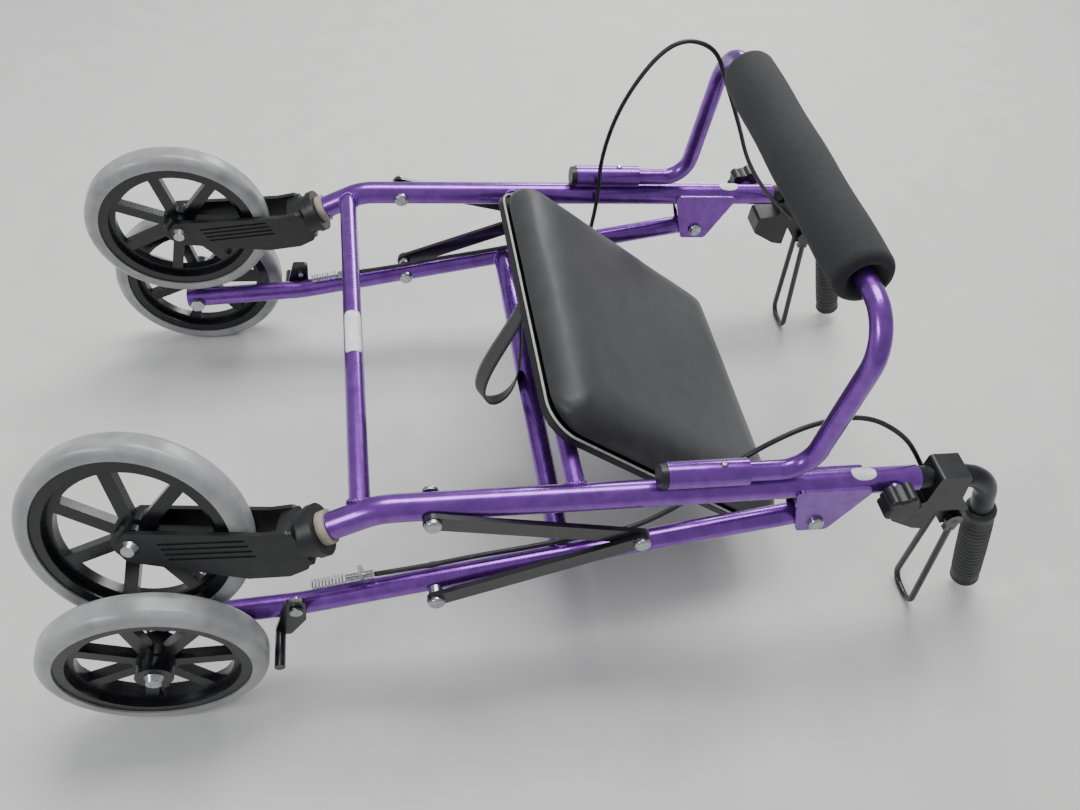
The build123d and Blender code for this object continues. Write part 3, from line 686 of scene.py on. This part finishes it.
class WALKER_OT_cables(bpy.types.Operator):
    """Lays the brake cables as smooth curves"""

    bl_idname = "walker.cables"
    bl_label = "Brake cables"

    def execute(self, context):
        upper = {
            "left": [
                (556, -207, -25), (536, -203, 4), (506, -201, 38), (462, -194, 60), (410, -197, 56),
                (362, -203, 30), (328, -206, -8), (306, -208, -42),
            ],
            "right": [
                (556, 207, -25), (536, 204, -8), (500, 199, 26), (464, 196, 70), (440, 195, 118),
                (410, 195, 170), (386, 195, 212), (338, 197, 216), (300, 201, 144), (288, 204, 66),
                (296, 207, 8), (294, 208, -42),
            ],
        }
        inner_y = HALF_TRACK - 6
        for name, side in SIDES.items():
            lower = [upper[name][-1]]
            for index, x in enumerate((266, 214, 160, 108, 60)):
                lower.append((x, side * inner_y, leg_height(x) + 15.5 + 2 * (index % 2)))
            lower.append((BARREL_X + 1.2, side * inner_y, leg_height(BARREL_X) + 18.1))
            self.lay(context, f"upper_cable_{name}", upper[name], f"handle_{name}", "front_frame", 536, 380)
            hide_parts(f"brake_cable_upper_{name}")
            self.lay(context, f"lower_cable_{name}", lower, "front_frame", "rear_frame", 305, 200)
            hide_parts(f"brake_cable_lower_{name}")
        return {"FINISHED"}

    def lay(self, context, name, route_mm, first, second, start_x, end_x):
        """A cable on a smooth curve drawn by the route; the two bodies and places it is handed are not used."""
        points = lying(np.array(route_mm, float))
        curve = bpy.data.curves.new(name + "_line", "CURVE")
        curve.dimensions = "3D"
        curve.bevel_depth = context.scene.walker_sizes.cable / 2
        curve.bevel_resolution = 4
        curve.use_fill_caps = True
        spline = curve.splines.new("NURBS")
        spline.points.add(len(points) - 1)
        spline.points.foreach_set("co", np.hstack([points, np.ones((len(points), 1))]).ravel())
        spline.order_u = 3
        spline.use_endpoint_u = True
        spline.resolution_u = 12
        line = bpy.data.objects.new(name + "_line", curve)
        context.scene.collection.objects.link(line)
        context.view_layer.update()
        graph = context.evaluated_depsgraph_get()
        mesh = bpy.data.meshes.new_from_object(line.evaluated_get(graph), depsgraph=graph)
        bpy.data.objects.remove(line)
        cable = settle(mesh, name)
        dress(cable, bpy.data.materials["extruded_black_pvc"], None)
        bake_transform(cable)


class WALKER_OT_weld_beads(bpy.types.Operator):
    """Runs weld beads round the ends of the crossbars"""

    bl_idname = "walker.weld_beads"
    bl_label = "Weld beads"

    def execute(self, context):
        bead = context.scene.walker_sizes.bead
        rear_z = leg_height(REAR_TUBE_X)
        # each: label, bar's place and radius, tube's radius and height, body
        joints = (
            ("lower", *LOWER_BAR, CROSSBAR_R, TUBE_R, LOWER_TUBE_Z, "front_frame"),
            ("seat", *SEAT_BAR, CROSSBAR_R, TUBE_R, SEAT_BAR[1], "front_frame"),
            ("rear", REAR_TUBE_X, rear_z, LEG_R, LEG_R, rear_z, "rear_frame"),
        )
        paint = bpy.data.materials["candy_violet_paint"]
        for label, x, z, bar, tube, tube_z, body in joints:
            for name, side in SIDES.items():
                # the saddle where a round bar meets a round tube, with the ripples of the weld pool
                angle = np.linspace(0, 2 * pi, 96, endpoint=False)
                off = bar * np.sin(angle) + z - tube_z
                depth = np.sqrt(np.clip(tube**2 - off**2, 4.0, None))
                place = np.stack(
                    [x + bar * np.cos(angle), side * (HALF_TRACK - depth), z + bar * np.sin(angle)], -1
                )
                ring = lying(place)
                spoke = np.cos(angle)[:, None] * TUBE_AXIS + np.sin(angle)[:, None] * TUBE_NORMAL
                round_bead = np.linspace(0, 2 * pi, 10, endpoint=False)
                size = bead * (1 + 0.16 * np.sin(24 * angle))[:, None, None]
                section = (
                    np.cos(round_bead)[None, :, None] * spoke[:, None]
                    - side * np.sin(round_bead)[None, :, None] * ACROSS
                )
                piece = grid_piece(f"weld_{label}_{name}", ring[:, None] + size * section, wrap_rows=True)
                dress(piece, paint, body)
        return {"FINISHED"}


class WALKER_OT_labels(bpy.types.Operator):
    """Sticks blank labels on the tubes and the lower crossbar"""

    bl_idname = "walker.labels"
    bl_label = "Blank labels"

    def execute(self, context):
        white = label_vinyl()
        for name, side in SIDES.items():
            patch = self.patch((466.0, side * HALF_TRACK, 0.0), "x", TUBE_R, 12.5, 0.62, 2.4)
            label = grid_piece(f"oval_label_{name}", patch)
            dress(label, white, "front_frame")
        patch = self.patch((LOWER_BAR[0], -8.0, LOWER_BAR[1]), "y", CROSSBAR_R, 29.0, 1.0, 9.0)
        dress(grid_piece("crossbar_label", patch), white, "front_frame")
        return {"FINISHED"}

    def patch(self, centre, along, radius, half_length, half_angle, power):
        """A thin patch bent round a tube: a disc grid whose outline is a superellipse of that power."""
        turn = np.linspace(0, 2 * pi, 64, endpoint=False)
        rim = (abs(np.cos(turn)) ** power + abs(np.sin(turn)) ** power) ** (-1 / power)
        r = np.concatenate([np.linspace(0, 1, 10), np.linspace(1, 0, 10)])[:, None]
        lift = np.concatenate([np.full(10, 0.35), np.full(10, 0.05)])[:, None]
        a = half_length * r * rim * np.cos(turn)
        angle = half_angle * r * rim * np.sin(turn)
        out = radius + lift
        if along == "x":
            offsets = np.stack([a, out * np.sin(angle), out * np.cos(angle)], -1)
        else:
            offsets = np.stack([out * np.sin(angle), a, out * np.cos(angle)], -1)
        return lying(np.array(centre) + offsets)


class WALKER_OT_stage(bpy.types.Operator):
    """Sets the floor, the soft lights and the camera"""

    bl_idname = "walker.stage"
    bl_label = "Stage"

    def execute(self, context):
        scene = context.scene
        view = scene.walker_view
        mesh = bpy.data.meshes.new("studio_floor")
        reach = 6.0
        corners = [(-reach, -reach, 0), (reach, -reach, 0), (reach, reach, 0), (-reach, reach, 0)]
        mesh.from_pydata(corners, [], [(0, 1, 2, 3)])
        floor = bpy.data.objects.new("studio_floor", mesh)
        scene.collection.objects.link(floor)
        material, tree, surface, place = new_material("matt_pale_floor", {"Roughness": 0.85})
        pale = scene.walker_colours.floor
        vary(tree, surface, place, tone(pale, 0.96), srgb(pale), 60)
        mesh.materials.append(material)

        world = bpy.data.worlds.new("studio_air")
        scene.world = world
        world.use_nodes = True
        background = world.node_tree.nodes["Background"]
        background.inputs["Color"].default_value = (0.82, 0.85, 0.9, 1.0)
        background.inputs["Strength"].default_value = 0.55
        lights = (
            ("ceiling_panel", (0.2, 0.6, 2.3), (radians(-14), 0.0, 0.0), 1.7, 46.0),
            ("window_side", (-2.0, -1.0, 1.8), (radians(38), 0.0, radians(-62)), 1.2, 22.0),
            ("back_strip", (0.9, 2.0, 1.3), (radians(-62), 0.0, radians(-20)), 1.0, 20.0),
        )
        for name, place, turn, size, power in lights:
            lamp = bpy.data.lights.new(name, "AREA")
            lamp.shape = "RECTANGLE"
            lamp.size = size
            lamp.size_y = size * 0.5
            lamp.energy = power
            item = bpy.data.objects.new(name, lamp)
            item.location = place
            item.rotation_euler = turn
            scene.collection.objects.link(item)

        camera = bpy.data.cameras.new("studio_camera")
        camera.sensor_width = 36.0
        camera.lens = view.lens
        camera.clip_start = 0.02
        stand = bpy.data.objects.new("studio_camera", camera)
        stand.location = view.place
        stand.rotation_euler = view.turn
        scene.collection.objects.link(stand)
        scene.camera = stand
        return {"FINISHED"}


STEPS = (
    WALKER_OT_finishes, WALKER_OT_seat, WALKER_OT_strap, WALKER_OT_foam_roll, WALKER_OT_grips,
    WALKER_OT_cables, WALKER_OT_weld_beads, WALKER_OT_labels, WALKER_OT_stage,
)


class WALKER_PT_panel(bpy.types.Panel):
    """Lists the walker's pieces"""

    bl_idname = "WALKER_PT_panel"
    bl_label = "Folded Walker"
    bl_space_type = "VIEW_3D"
    bl_region_type = "UI"
    bl_category = "Walker"

    def draw(self, context):
        for step in STEPS:
            self.layout.operator(step.bl_idname)
        for group in (context.scene.walker_colours, context.scene.walker_sizes, context.scene.walker_view):
            for name in group.__annotations__:
                self.layout.prop(group, name)


CLASSES = (WalkerColours, WalkerSizes, WalkerView, *STEPS, WALKER_PT_panel)


def register():
    for item in CLASSES:
        bpy.utils.register_class(item)
    bpy.types.Scene.walker_colours = PointerProperty(type=WalkerColours)
    bpy.types.Scene.walker_sizes = PointerProperty(type=WalkerSizes)
    bpy.types.Scene.walker_view = PointerProperty(type=WalkerView)


def unregister():
    del bpy.types.Scene.walker_view
    del bpy.types.Scene.walker_sizes
    del bpy.types.Scene.walker_colours
    for item in reversed(CLASSES):
        bpy.utils.unregister_class(item)


def main():
    """Registers the add-on's classes and builds every piece."""
    register()
    for step in STEPS:
        group, name = step.bl_idname.split(".")
        getattr(getattr(bpy.ops, group), name)()


if __name__ == "__main__":
    main()
